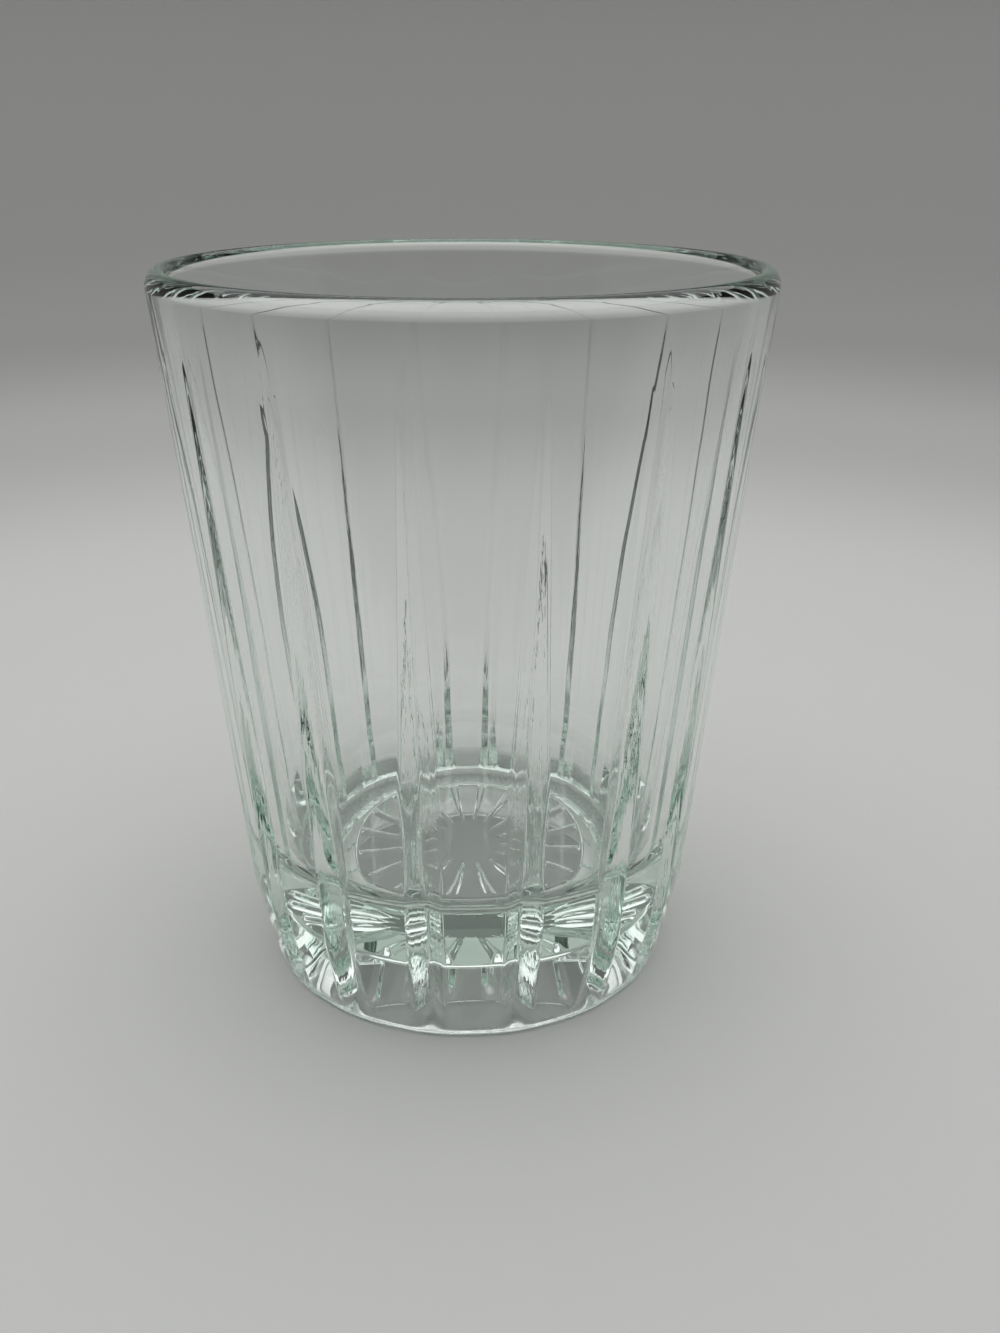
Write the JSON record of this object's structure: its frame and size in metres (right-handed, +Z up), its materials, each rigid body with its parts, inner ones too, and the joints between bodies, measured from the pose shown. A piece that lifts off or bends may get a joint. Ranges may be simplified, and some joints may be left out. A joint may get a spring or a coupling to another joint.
{
  "type": "rocks glass",
  "caption": "Heavy tapered rocks glass in clear pressed glass, with flat panels parted by grooves, a plain bevelled lip, and a ray star in the hollow of its thick base.",
  "frame": {"origin": "middle of the circle that the glass stands on", "axes": "+Z up along the axis of the glass; the middle of one flat panel faces -Y"},
  "size_m": [0.0818, 0.0818, 0.1],
  "materials": {
    "clear_glass": "fire-polished clear glass with a faint green edge tint"
  },
  "bodies": {
    "root": {"tumbler": "clear_glass"}
  },
  "joints": []
}
